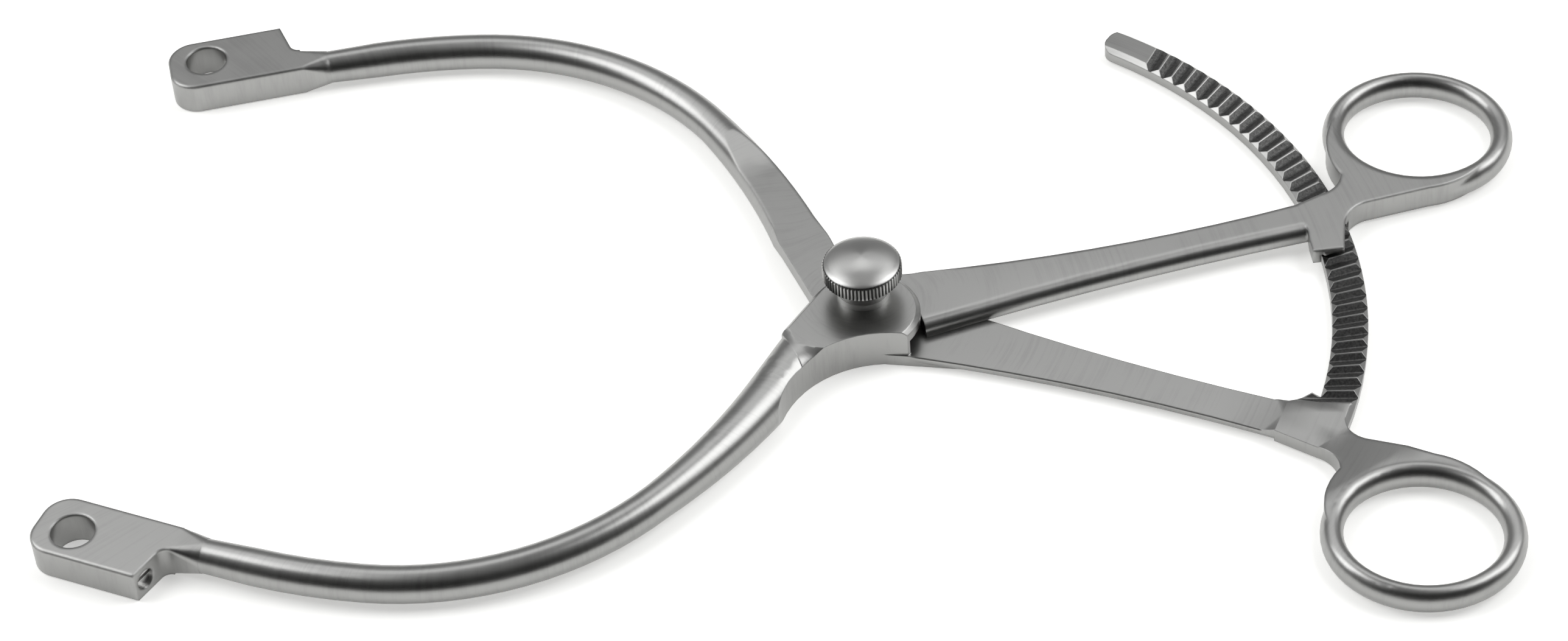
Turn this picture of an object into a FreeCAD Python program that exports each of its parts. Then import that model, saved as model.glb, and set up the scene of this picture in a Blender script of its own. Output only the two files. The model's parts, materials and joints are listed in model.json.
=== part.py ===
import FreeCAD
import Part
import math
import os

# Self retaining retractor with a ratchet bar. Two forged arms turn on a thumb screw and each ends
# in a block that takes a blade. Millimetres. The origin is on the screw's axis, at the level that
# the instrument rests on: +X runs towards the finger rings, +Y towards the flat arm, +Z is up.
# Most forms are drawn for the +Y side and mirrored for the slotted arm.

V = FreeCAD.Vector
UP = V(0, 0, 1)

# Stack at the joint, from the resting level up
PLATE_T = 2.4
TONGUE_T = 3.0
SLIP = 0.05
CHEEK_T = 2.5
SLOT_TOP = PLATE_T + TONGUE_T + 2 * SLIP
BOX_TOP = SLOT_TOP + CHEEK_T
TONGUE_Z = PLATE_T + SLIP
TONGUE_TOP = TONGUE_Z + TONGUE_T

# Box of the slotted arm
CHEEK_R = 9.4
CHEEK_X = 0.5
CHEEK_Y = -4.2
TONGUE_R = 7.9
SLOT_GAP = 0.4
WALL_T = 1.9
FRONT_HOLLOW_R = 19.4
FRONT_HOLLOW_X = 6.0
NOSE_CHAMFER = 0.8
BOX_SIDE_TURN = 2.8
BOX_HIP = V(-14.2, -10.2, 0)
BOX_WAIST = V(-9.5, -18.5, 0)
BOX_HEEL = 3.0

# How far the flat arm turns from the drawn pose
CLOSING_TURN = 36.0
OPENING_TURN = 18.0
STOP_MARGIN = 3.0

# Arms: three tangent arcs from the joint out to the blade blocks
ARM_ROOT_X = -15.1
ARM_ROOT_Y = 21.7
ARM_ROOT_HEADING = 115.6
ARM_ROOT_D = 9.4
ARM_DEEP_D = 10.3
ARM_DEEP_RUN = 11.0
ARM_DEEP_Z = 2.95
ARM_D = 6.8
ARM_Z = ARM_D / 2 + 0.05
ARM_TIP_D = 6.2
ARM_BENDS = ((134.8, 14.06), (59.1, 53.8), (109.4, 10.6))
ARM_TIP_RUN = 10.4

# Flats forged on the flat arm near the joint: reach, and run of their ramp for 1 mm of height
FLAT_TOP_REACH = 44.5
FLAT_UNDER_REACH = 22.0
FLAT_RAMP = 7.0

# Blade blocks
BLOCK_T = 6.5
BLOCK_INNER = 7.5
BLOCK_OUTER = 6.1
BLOCK_END = 7.4
BLOCK_TURN = 3.0
BLOCK_REACH = 22.4
BLOCK_OFFSET = 4.85
BLOCK_CORNER_R = 5.0
BLOCK_CHAMFER = 0.3
SHOULDER_REACH = 16.2
SHOULDER_FILLET = 1.6
BLADE_HOLE_D = 8.0
NECK_CORNER_R = 0.6
TIP_LAP = 1.0
TIP_STEP = 0.12

# Ball plunger in each block
PLUNGER_TURN = 12.0
PLUNGER_D = 4.0
PLUNGER_WALL = 2.2
PLUNGER_RECESS = 0.9
BALL_D = 2.5
BALL_OUT = 0.2
BALL_FIT = 0.04
LIP_T = 0.15
SET_SCREW_L = 6.0
POCKET_D = 2.5
POCKET_L = 2.0
SPRING_WIRE = 0.35
SPRING_MEAN_R = 0.85
SPRING_TURNS = 5
SPRING_FIT = 0.02
SCREW_SLOT_W = 0.7
SCREW_SLOT_DEPTH = 0.9

# Ratchet bar, an arc about the joint
BAR_R = 88.5
BAR_W = 6.5
BAR_TOP = 3.3
BAR_T = 2.7
BAR_BEVEL = 0.95
BAR_BEVEL_DEPTH = 0.8
BAR_ROOT_ANGLE = -19.0
BAR_IN = BAR_R - BAR_W / 2
BAR_OUT = BAR_R + BAR_W / 2
TOOTH_PITCH = 2.093
TOOTH_COUNT = 33
TOOTH_SKEW = 16.0
FIRST_CREST_ANGLE = 55.2
TOOTH_DEPTH = 0.8
TOOTH_FLAT = 0.35
TOOTH_STEEP = 0.95
TOOTH_LAND = 0.12
LAST_GROOVE_REACH = 6.0
NEXT_GROOVE_REACH = 3.2
TONGUE_END_ANGLE = 62.0
TONGUE_CORNER = 0.42

# Handles: radius from the joint, angle and width at three stations. The last station is short of
# the bar's centre line by the amount given.
FLAT_END_SHORT = 5.1
SLOTTED_END_SHORT = 8.5
FLAT_HANDLE = ((12.2, 9.5, 13.8), (45.4, 16.0, 7.7), (BAR_R - FLAT_END_SHORT, 17.7, 7.2))
SLOTTED_HANDLE = ((11.6, -17.0, 15.0), (44.5, -17.1, 9.0), (BAR_R - SLOTTED_END_SHORT, -17.3, 8.4))
HANDLE_UNDER_R = 1.9
HANDLE_SHOULDER_R = 2.3
HEEL_BACK = 2.7
HEEL_NOTCH = V(-1.2, 3.0, 0)
HANDLE_ROOT_X = 3.0
EDGE_BREAK = 0.2

# Finger rings: the ring's centre lies past the bar
RING_PAST_BAR = 25.0
RING_SPREAD = 27.06
RING_A = 15.82
RING_B = 14.78
RING_WIDE = 4.1
RING_HIGH = 5.3
RING_REACH = BAR_R + RING_PAST_BAR
RING_X = RING_REACH * math.cos(math.radians(RING_SPREAD))
RING_Y = RING_REACH * math.sin(math.radians(RING_SPREAD))
RING_C = V(RING_X, RING_Y, 0)

# Web between a handle and its ring, measured from the ring's centre
FORK_MID = V(-12.5, -24.0, 0)
FORK_IN = V(-9.9, -21.7, 0)
TOUCH_IN = V(2.0, -17.3, 0)
BLEND_IN = V(8.5, -14.2, 0)
END_IN = V(12.5, -9.3, 0)
INSIDE_IN = V(8.0, -6.0, 0)
INSIDE_FAR = V(-10.0, 2.0, 0)
END_FAR = V(-15.7, 2.0, 0)
BLEND_FAR = V(-17.2, -5.0, 0)
FORK_FAR = V(-14.4, -13.9, 0)
FORK_FAR_MID = V(-15.4, -17.4, 0)
FORK_FAR_END = V(-18.6, -20.0, 0)
WEB_RAMP = 2.2
WEB_RISE_START = 27.0
WEB_RISE_RUN = 11.0
WEB_TOP_SUNK = 0.1

# Pawl on the flat arm's handle: a thin tab over the bar with one tooth under it
BAR_CLEAR = 0.15
BAR_SIDE_CLEAR = 0.4
PAWL_T = 1.1
PAWL_GROOVE = 20
PAWL_TOOTH_CLEAR = 0.08
TAB_IN = 5.2
TAB_PAST = 0.6
TAB_END_ANGLE = 11.3
TAB_ROOT_ANGLE = 13.6
POCKET_END_ANGLE = 16.5
SLOTTED_BAR_CORNER = (3.0, 20.6)
FLAT_BAR_CORNER = (4.3, 24.4)

# Thumb screw and collar
SCREW_D = 6.0
SCREW_FIT = 0.04
SCREW_SHORT = 0.1
COLLAR_R = 4.85
COLLAR_T = 1.3
COLLAR_FIT = 0.15
NECK_R = 4.6
NECK_H = 3.2
KNOB_R = 7.3
KNOB_RIM_H = 3.3
KNOB_DOME_H = 1.5
KNOB_EDGE = 0.5
KNURL_COUNT = 64
KNURL_DEPTH = 0.35


def polar(radius, degrees, z=0.0):
    a = math.radians(degrees)
    return V(radius * math.cos(a), radius * math.sin(a), z)


def across(heading):
    return V(-math.sin(heading), math.cos(heading), 0)


def line(p, q):
    return Part.LineSegment(p, q).toShape()


def arc(p, q, r):
    return Part.Arc(p, q, r).toShape()


def prism(edges, z0, z1):
    face = Part.Face(Part.Wire(edges))
    face.translate(V(0, 0, z0))
    return face.extrude(V(0, 0, z1 - z0))


def polygon_face(points):
    return Part.Face(Part.makePolygon(points + [points[0]]))


def polygon(points, z0, z1):
    face = polygon_face(points)
    face.translate(V(0, 0, z0))
    return face.extrude(V(0, 0, z1 - z0))


def cylinder(radius, z0, z1, centre=V(0, 0, 0)):
    return Part.makeCylinder(radius, z1 - z0, V(centre.x, centre.y, z0))


def mirrored(shape):
    return shape.mirror(V(0, 0, 0), V(0, 1, 0))


def is_rim(edge, top):
    """True for an edge that lies flat in the piece's top or bottom face."""
    box = edge.BoundBox
    flat = box.ZLength < 1e-6
    return flat and (abs(box.ZMin) < 1e-6 or abs(box.ZMin - top) < 1e-6)


def top_rim(shape, top, least):
    """Edges in the top face that are longer than least."""
    return [e for e in shape.Edges if is_rim(e, top) and e.BoundBox.ZMin > top / 2 and e.Length > least]


def side_profile(points, place, heading, half_width):
    """Solid drawn in side view as run and height, along heading from place, and as wide as given."""
    along = V(math.cos(heading), math.sin(heading), 0)
    wide = across(heading) * half_width
    corners = [place - wide + along * s + UP * z for s, z in points]
    return polygon_face(corners).extrude(wide * 2)


def rounded_rect(width, height, corner, centre, heading):
    """Upright rounded rectangle, square to a run that heads along heading."""
    sideways = across(heading)
    w = width / 2
    h = height / 2
    k = corner * (1 - math.sqrt(0.5))

    def at(x, z):
        return centre + sideways * x + UP * z

    edges = []
    for sx, sz, leads_up in ((1, 1, True), (-1, 1, False), (-1, -1, True), (1, -1, False)):
        on_side = at(sx * w, sz * (h - corner))
        on_flat = at(sx * (w - corner), sz * h)
        middle = at(sx * (w - k), sz * (h - k))
        if leads_up:
            edges.append(arc(on_side, middle, on_flat))
            edges.append(line(on_flat, at(-sx * (w - corner), sz * h)))
        else:
            edges.append(arc(on_flat, middle, on_side))
            edges.append(line(on_side, at(sx * w, -sz * (h - corner))))
    return Part.Wire(edges)


def walk_arm():
    """The arm's bends as (start, centre, turn), and every joint on its line as (point, heading)."""
    p = V(ARM_ROOT_X, ARM_ROOT_Y, ARM_Z)
    h = math.radians(ARM_ROOT_HEADING)
    bends = []
    stops = [(p, h)]
    for radius, turn in ARM_BENDS:
        centre = p + across(h) * radius
        bends.append((p, centre, turn))
        h += math.radians(turn)
        p = centre - across(h) * radius
        stops.append((p, h))
    p = p + V(math.cos(h), math.sin(h), 0) * ARM_TIP_RUN
    stops.append((p, h))
    return bends, stops


BENDS, STOPS = walk_arm()
ROOT, ROOT_H = STOPS[0]
ROOT_DIR = V(math.cos(ROOT_H), math.sin(ROOT_H), 0)
INNER_EDGE = V(ROOT.x, ROOT.y, 0) + across(ROOT_H) * (ARM_ROOT_D / 2)
OUTER_EDGE = V(ROOT.x, ROOT.y, 0) - across(ROOT_H) * (ARM_ROOT_D / 2)
TIP, TIP_H = STOPS[-1]


def circle_wire(p, heading, diameter, z):
    normal = V(math.cos(heading), math.sin(heading), 0)
    return Part.Wire([Part.Circle(V(p.x, p.y, z), normal, diameter / 2).toShape()])


def round_arm():
    """Round bar of the arm: a swelling root, two bends of even thickness and a tapered tip."""
    deep = ROOT - ROOT_DIR * ARM_DEEP_RUN
    start, centre, turn = BENDS[0]
    half = math.radians(turn / 2)
    middle = centre - across(ROOT_H + half) * ARM_BENDS[0][0]
    spine = Part.Wire([line(deep, ROOT), arc(ROOT, middle, STOPS[1][0])])
    root = Part.BRepOffsetAPI.MakePipeShell(spine)
    root.setFrenetMode(True)
    root.add(circle_wire(deep, ROOT_H, ARM_DEEP_D, ARM_DEEP_Z))
    root.add(circle_wire(ROOT, ROOT_H, ARM_ROOT_D, ARM_DEEP_Z))
    root.add(circle_wire(*STOPS[1], ARM_D, ARM_Z))
    root.build()
    root.makeSolid()
    pieces = []
    for start, centre, turn in BENDS[1:]:
        heading = math.atan2(start.x - centre.x, centre.y - start.y)
        disc = Part.Face(circle_wire(start, heading, ARM_D, ARM_Z))
        pieces.append(disc.revolve(centre, UP, turn))
    base, heading = STOPS[-2]
    way = V(math.cos(heading), math.sin(heading), 0)
    pieces.append(Part.makeCone(ARM_D / 2, ARM_TIP_D / 2, ARM_TIP_RUN, base, way))
    slab = Part.makeBox(400, 400, BOX_TOP, V(-200, -200, 0))
    return root.shape().common(slab).fuse(pieces)


BLOCK_AXIS = TIP_H - math.pi + math.radians(BLOCK_TURN)
BLOCK_ALONG = V(math.cos(BLOCK_AXIS), math.sin(BLOCK_AXIS), 0)
HOLE = V(TIP.x, TIP.y, 0) - BLOCK_ALONG * BLOCK_REACH + across(BLOCK_AXIS) * BLOCK_OFFSET
PLUNGER_H = math.radians(PLUNGER_TURN)
PLUNGER_Z = BLOCK_T / 2
BORE_D = BALL_D + 2 * BALL_FIT
BALL_X = BLADE_HOLE_D / 2 - BALL_OUT + BALL_D / 2
LIP_X = BLADE_HOLE_D / 2 + LIP_T
LIP_D = 2 * (math.sqrt((BALL_D / 2) ** 2 - (BALL_X - LIP_X) ** 2) + BALL_FIT)
SCREW_OUT_X = SHOULDER_REACH - PLUNGER_RECESS
SCREW_IN_X = SCREW_OUT_X - SET_SCREW_L


def seat_on_block(shape):
    """From the block's own axes, with the blade hole at zero, to the +Y arm's place."""
    placed = shape.copy()
    placed.rotate(V(0, 0, 0), UP, math.degrees(BLOCK_AXIS))
    placed.translate(HOLE)
    return placed


def plunger_rod(diameter, x0, x1):
    """A round piece on the plunger's axis, in the block's own axes."""
    way = V(math.cos(PLUNGER_H), math.sin(PLUNGER_H), 0)
    return Part.makeCylinder(diameter / 2, x1 - x0, way * x0 + UP * PLUNGER_Z, way)


def blade_block():
    """Block with the blade hole, the slanted shoulder and the bore of the ball plunger."""
    inner = -BLOCK_INNER
    outer = BLOCK_OUTER
    end = -BLOCK_END
    r = BLOCK_CORNER_R
    k = r * (1 - math.sqrt(0.5))
    f = SHOULDER_FILLET
    face_x = math.cos(PLUNGER_H) * SHOULDER_REACH
    face_y = math.sin(PLUNGER_H) * SHOULDER_REACH
    lean = math.tan(PLUNGER_H)
    corner = V(face_x - (outer - face_y) * lean, outer, 0)
    neck_y = -BLOCK_OFFSET + ARM_TIP_D / 2
    foot = V(face_x + (face_y - neck_y - f) * lean, neck_y + f, 0)
    neck = V(foot.x + f * 1.1, neck_y, 0)
    neck_in = V(neck.x, inner, 0)
    edges = [
        line(neck_in, V(end + r, inner, 0)),
        arc(V(end + r, inner, 0), V(end + k, inner + k, 0), V(end, inner + r, 0)),
        line(V(end, inner + r, 0), V(end, outer - r, 0)),
        arc(V(end, outer - r, 0), V(end + k, outer - k, 0), V(end + r, outer, 0)),
        line(V(end + r, outer, 0), corner),
        line(corner, foot),
        arc(foot, V(foot.x + 0.38 * f, neck_y + 0.3 * f, 0), neck),
        line(neck, neck_in),
    ]
    block = prism(edges, 0, BLOCK_T)
    rim = [e for e in block.Edges if is_rim(e, BLOCK_T) and e.BoundBox.XMax < corner.x + 0.1]
    block = block.makeChamfer(BLOCK_CHAMFER, rim)
    tip_turn = TIP_H - BLOCK_AXIS
    tip_way = V(math.cos(tip_turn), math.sin(tip_turn), 0)
    tip_local = V(BLOCK_REACH, -BLOCK_OFFSET, ARM_Z) - tip_way * TIP_LAP
    neck_mid = V(neck.x, (neck_y + inner) / 2, BLOCK_T / 2)
    square = rounded_rect(neck_y - inner, BLOCK_T, NECK_CORNER_R, neck_mid, math.pi)
    round_d = ARM_TIP_D + TIP_STEP
    round_end = rounded_rect(round_d, round_d, round_d / 2 - TIP_STEP, tip_local, tip_turn)
    block = block.fuse(Part.makeLoft([square, round_end], True, True))
    hole = BLADE_HOLE_D / 2
    block = block.cut(cylinder(hole, -1, BLOCK_T + 1))
    block = block.cut(plunger_rod(PLUNGER_D, hole + PLUNGER_WALL, SHOULDER_REACH + PLUNGER_D))
    block = block.cut(plunger_rod(BORE_D, LIP_X, SHOULDER_REACH))
    block = block.cut(plunger_rod(LIP_D, hole / 2, SHOULDER_REACH))
    return seat_on_block(block)


def set_screw():
    """Slotted set screw that closes the plunger's bore and backs its spring."""
    body = plunger_rod(PLUNGER_D, SCREW_IN_X, SCREW_OUT_X)
    body = body.cut(plunger_rod(POCKET_D, SCREW_IN_X - 1, SCREW_IN_X + POCKET_L))
    slot = Part.makeBox(SCREW_SLOT_DEPTH + 1, PLUNGER_D + 1, SCREW_SLOT_W)
    slot.translate(V(SCREW_OUT_X - SCREW_SLOT_DEPTH, -(PLUNGER_D + 1) / 2, PLUNGER_Z - SCREW_SLOT_W / 2))
    slot.rotate(V(0, 0, 0), UP, PLUNGER_TURN)
    return seat_on_block(body.cut(slot))


def detent_ball():
    way = V(math.cos(PLUNGER_H), math.sin(PLUNGER_H), 0)
    return seat_on_block(Part.makeSphere(BALL_D / 2, way * BALL_X + UP * PLUNGER_Z))


def detent_spring():
    """Coil spring between the ball and the pocket of the set screw."""
    touch = BALL_D / 2 + SPRING_WIRE / 2
    x0 = BALL_X + math.sqrt(touch ** 2 - SPRING_MEAN_R ** 2) + SPRING_FIT
    x1 = SCREW_IN_X + POCKET_L - SPRING_WIRE / 2 - SPRING_FIT
    pitch = (x1 - x0) / SPRING_TURNS
    helix = Part.makeHelix(pitch, x1 - x0, SPRING_MEAN_R)
    w = SPRING_WIRE / 2
    signs = ((1, 1), (-1, 1), (-1, -1), (1, -1), (1, 1))
    corners = [V(SPRING_MEAN_R + sx * w, 0, sz * w) for sx, sz in signs]
    coil = Part.Wire(helix.Edges).makePipeShell([Part.makePolygon(corners)], True, True)
    coil.rotate(V(0, 0, 0), V(0, 1, 0), 90)
    coil.translate(V(x0, 0, PLUNGER_Z))
    coil.rotate(V(0, 0, 0), UP, PLUNGER_TURN)
    return seat_on_block(coil)


def handle_edges(stations):
    """The far and near edge points of a handle's three stations."""
    centres = [polar(r, a) for r, a, w in stations]
    far = []
    near = []
    for i, (r, a, w) in enumerate(stations):
        way = centres[min(i + 1, 2)] - centres[max(i - 1, 0)]
        way.normalize()
        side = V(-way.y, way.x, 0)
        far.append(centres[i] + side * (w / 2))
        near.append(centres[i] - side * (w / 2))
    return far, near


def oval_arcs(a, b):
    """An oval's four tangent arcs: turn, centre's offset, radius and half angle of each."""
    d = a - b
    end = 1.6 * d
    side = d * (2 * end - d) / (2 * (end - d))
    half = math.degrees(math.atan2(side, end))
    return (
        (0, end, a - end, half),
        (90, -side, b + side, 90 - half),
        (180, end, a - end, half),
        (270, -side, b + side, 90 - half),
    )


def oval_wire(a, b):
    """Oval about the origin, its long half size a along X and its short half size b along Y."""
    edges = []
    for turn, offset, radius, half in oval_arcs(a, b):
        edge = arc(*[V(offset, 0, 0) + polar(radius, t) for t in (-half, 0, half)])
        edge.rotate(V(0, 0, 0), UP, turn)
        edges.append(edge)
    return Part.Wire(edges)


def finger_ring():
    """Oval ring of oval section, for the +Y side."""
    pieces = []
    for turn, offset, radius, half in oval_arcs(RING_A, RING_B):
        section = oval_wire(RING_HIGH / 2, RING_WIDE / 2)
        section.rotate(V(0, 0, 0), V(0, 1, 0), 90)
        section.rotate(V(0, 0, 0), UP, 90)
        face = Part.Face(section)
        face.translate(V(radius, 0, 0))
        face.rotate(V(0, 0, 0), UP, -half)
        piece = face.revolve(V(0, 0, 0), UP, 2 * half)
        piece.translate(V(offset, 0, 0))
        piece.rotate(V(0, 0, 0), UP, turn)
        pieces.append(piece)
    ring = pieces[0].fuse(pieces[1:]).removeSplitter()
    ring.translate(RING_C + UP * (RING_HIGH / 2))
    return ring


def ring_web(far_end, near_points, bar_corner, z0, z1):
    """Web between a handle and its ring, with round forks on both sides."""
    edges = [
        arc(bar_corner, RING_C + FORK_MID, RING_C + FORK_IN),
        line(RING_C + FORK_IN, RING_C + TOUCH_IN),
        arc(RING_C + TOUCH_IN, RING_C + BLEND_IN, RING_C + END_IN),
        line(RING_C + END_IN, RING_C + INSIDE_IN),
        line(RING_C + INSIDE_IN, RING_C + INSIDE_FAR),
        line(RING_C + INSIDE_FAR, RING_C + END_FAR),
        arc(RING_C + END_FAR, RING_C + BLEND_FAR, RING_C + FORK_FAR),
        arc(RING_C + FORK_FAR, RING_C + FORK_FAR_MID, RING_C + FORK_FAR_END),
        line(RING_C + FORK_FAR_END, far_end),
    ]
    chain = [far_end] + near_points + [bar_corner]
    for p, q in zip(chain, chain[1:]):
        edges.append(line(p, q))
    web = prism(edges, z0, z1)
    hole = Part.Face(oval_wire(RING_A, RING_B))
    hole.translate(RING_C + UP * (z0 - 1))
    return web.cut(hole.extrude(V(0, 0, z1 - z0 + 2)))


def bar_section(top, bottom):
    """Section of the ratchet bar in the plane y = 0, its long top edges bevelled."""
    return polygon_face([
        V(BAR_IN, 0, bottom),
        V(BAR_OUT, 0, bottom),
        V(BAR_OUT, 0, top - BAR_BEVEL_DEPTH),
        V(BAR_OUT - BAR_BEVEL, 0, top),
        V(BAR_IN + BAR_BEVEL, 0, top),
        V(BAR_IN, 0, top - BAR_BEVEL_DEPTH),
    ])


def ratchet_bar():
    """Plain arc of the bar with its rounded tip, before the teeth are cut."""
    section = bar_section(BAR_TOP, BAR_TOP - BAR_T)
    section.rotate(V(0, 0, 0), UP, BAR_ROOT_ANGLE)
    bar = section.revolve(V(0, 0, 0), UP, TONGUE_END_ANGLE - BAR_ROOT_ANGLE)
    tip = polar(BAR_R, TONGUE_END_ANGLE)
    corners = []
    for edge in bar.Edges:
        box = edge.BoundBox
        upright = box.XLength < 1e-3 and box.YLength < 1e-3
        if upright and (box.Center - tip).Length < BAR_W:
            corners.append(edge)
    return bar.makeFillet(BAR_W * TONGUE_CORNER, corners)


def tooth_form(index, reach_in, reach_out, floor, rim, top):
    """Room of one groove, or the body of a tooth that fits it, between two heights."""
    angle = FIRST_CREST_ANGLE - TOOTH_PITCH * (index + 1)
    skew = math.radians(TOOTH_SKEW)
    width = math.radians(TOOTH_PITCH) * BAR_R * math.cos(skew) - TOOTH_LAND
    gentle = width - TOOTH_FLAT - TOOTH_STEEP
    form = polygon_face([
        V(reach_in, 0, rim),
        V(reach_in, gentle, floor),
        V(reach_in, gentle + TOOTH_FLAT, floor),
        V(reach_in, width, rim),
        V(reach_in, width, top),
        V(reach_in, 0, top),
    ]).extrude(V(reach_out - reach_in, 0, 0))
    form.rotate(V(BAR_IN + BAR_BEVEL, 0, 0), UP, TOOTH_SKEW)
    form.rotate(V(0, 0, 0), UP, angle)
    return form


def tooth_cutter(index):
    """Groove below one crest: a long slope, a narrow flat and a steep face that holds the pawl."""
    longer = {TOOTH_COUNT - 1: LAST_GROOVE_REACH, TOOTH_COUNT - 2: NEXT_GROOVE_REACH}
    reach_in = BAR_IN - 1.0 - longer.get(index, 0.0)
    return tooth_form(index, reach_in, BAR_OUT + 1.5, BAR_TOP - TOOTH_DEPTH, BAR_TOP, BAR_TOP + 1)


def tangent_angle(radius, point):
    """Angle of the point where a line from the given point touches a circle about the joint."""
    reach = math.hypot(point.x, point.y)
    return math.degrees(math.atan2(point.y, point.x) + math.acos(radius / reach))


def heel_place(near):
    """Heel of the flat handle, where its near edge ends beside the box."""
    way = near[1] - near[0]
    way.normalize()
    return near[0] - way * HEEL_BACK


SLOT_R = TONGUE_R + SLOT_GAP
FRONT_Y = -(SLOT_R + WALL_T)
FAR = 60.0


def slot_tool():
    """Room for the flat arm's tongue through its whole turn, open on the +Y side."""
    touch = tangent_angle(TONGUE_R, INNER_EDGE) + CLOSING_TURN
    stop = polar(SLOT_R, touch + STOP_MARGIN)
    way = polar(1.0, touch - 90.0)
    edges = [
        line(V(FAR, -SLOT_R, 0), V(0, -SLOT_R, 0)),
        arc(V(0, -SLOT_R, 0), polar(SLOT_R, (touch + STOP_MARGIN + 270.0) / 2), stop),
        line(stop, stop + way * FAR),
        line(stop + way * FAR, V(-FAR, FAR, 0)),
        line(V(-FAR, FAR, 0), V(FAR, FAR, 0)),
        line(V(FAR, FAR, 0), V(FAR, -SLOT_R, 0)),
    ]
    return prism(edges, PLATE_T, SLOT_TOP)


def heel_room():
    """Room for the flat handle's heel when the rings are squeezed together."""
    heel = heel_place(handle_edges(FLAT_HANDLE)[1])
    reach = heel.Length + SLOT_GAP
    last = math.degrees(math.atan2(heel.y, heel.x)) - OPENING_TURN - STOP_MARGIN
    edges = [
        line(V(0, 0, 0), polar(reach, last)),
        arc(polar(reach, last), polar(reach, last / 2), polar(reach, 0)),
        line(polar(reach, 0), V(0, 0, 0)),
    ]
    return prism(edges, PLATE_T, SLOT_TOP)


def cheek_box():
    """Box round the joint before its slot is cut, with the front wall and the round nose."""
    base_r = CHEEK_R + NOSE_CHAMFER
    centre = V(CHEEK_X, CHEEK_Y, 0)
    nose = V(CHEEK_X + math.sqrt(base_r ** 2 - (FRONT_Y - CHEEK_Y) ** 2), FRONT_Y, 0)
    lean = 180.0 - ARM_ROOT_HEADING - BOX_SIDE_TURN
    side = centre + polar(base_r, lean + 90.0)
    front = V(nose.x - BOX_HEEL, FRONT_Y, 0)
    edges = [
        arc(nose, centre + polar(base_r, 34.4), side),
        line(side, BOX_HIP),
        line(BOX_HIP, BOX_WAIST),
        line(BOX_WAIST, front),
        line(front, nose),
    ]
    box = prism(edges, 0, BOX_TOP)
    rim = [e for e in top_rim(box, BOX_TOP, 0) if e.BoundBox.YMax > 0]
    return box.makeChamfer(NOSE_CHAMFER, rim)


def handle_outline(far, near, start_far, start_near):
    return [
        line(start_near, near[0]),
        arc(near[0], near[1], near[2]),
        line(near[2], far[2]),
        arc(far[2], far[1], far[0]),
        line(far[0], start_far),
        line(start_far, start_near),
    ]


def slotted_handle():
    """Lower plate and handle, rounded below, with the ramp up to the thicker end."""
    far, near = handle_edges(SLOTTED_HANDLE)
    start_far = V(HANDLE_ROOT_X, CHEEK_Y + CHEEK_R, 0)
    start_near = V(HANDLE_ROOT_X, FRONT_Y, 0)
    edges = handle_outline(far, near, start_far, start_near)
    plate = prism(edges, 0, PLATE_T)
    under = [e for e in plate.Edges if is_rim(e, PLATE_T) and e.BoundBox.ZMin < 1 and e.Length > 40]
    plate = plate.makeFillet(HANDLE_UNDER_R, under)
    plate = plate.makeChamfer(EDGE_BREAK, top_rim(plate, PLATE_T, 40))
    end = (far[2] + near[2]) * 0.5
    heading = math.radians(SLOTTED_HANDLE[2][1])
    step = BAR_TOP - PLATE_T
    low = PLATE_T - step
    profile = [(-WEB_RAMP * 2, low), (0, BAR_TOP), (1, BAR_TOP), (1, low)]
    ramp = side_profile(profile, end, heading, FAR / 2)
    return plate.fuse(prism(edges, PLATE_T / 2, BAR_TOP).common(ramp))


def slotted_web():
    """Web to the slotted arm's ring, rising from the bar's level to the ring's top, for the +Y side."""
    far, near = handle_edges(SLOTTED_HANDLE)
    far_end = V(near[2].x, -near[2].y, 0)
    near_end = V(far[2].x, -far[2].y, 0)
    corner_in = polar(BAR_IN - 1.6, 12.4)
    short, corner_y = SLOTTED_BAR_CORNER
    bottom = BAR_TOP - BAR_T
    top = RING_HIGH - WEB_TOP_SUNK
    web = ring_web(far_end, [near_end, corner_in], V(BAR_OUT - short, corner_y, 0), bottom, top)
    middle = (far_end + near_end) * 0.5
    way = RING_C - middle
    heading = math.atan2(way.y, way.x)
    rise = way.Length - WEB_RISE_START
    profile = [
        (-FAR, 0),
        (-FAR, BAR_TOP),
        (rise, BAR_TOP),
        (rise + WEB_RISE_RUN, top),
        (FAR, top),
        (FAR, 0),
    ]
    return web.common(side_profile(profile, middle, heading, FAR))


def slotted_arm():
    """Arm, box, handle, ratchet bar and ring in one forging."""
    body = mirrored(round_arm()).fuse(cheek_box())
    hollow = V(FRONT_HOLLOW_X, FRONT_Y - FRONT_HOLLOW_R, 0)
    body = body.cut(cylinder(FRONT_HOLLOW_R, -1, BOX_TOP + 1, hollow))
    body = body.cut(slot_tool()).cut(heel_room())
    body = body.fuse([slotted_handle(), mirrored(slotted_web()), ratchet_bar(), mirrored(finger_ring())])
    for index in range(TOOTH_COUNT):
        body = body.cut(tooth_cutter(index))
    body = body.cut(cylinder(SCREW_D / 2 + SCREW_FIT, -1, BOX_TOP + 1))
    return body.fuse(mirrored(blade_block()))


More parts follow.
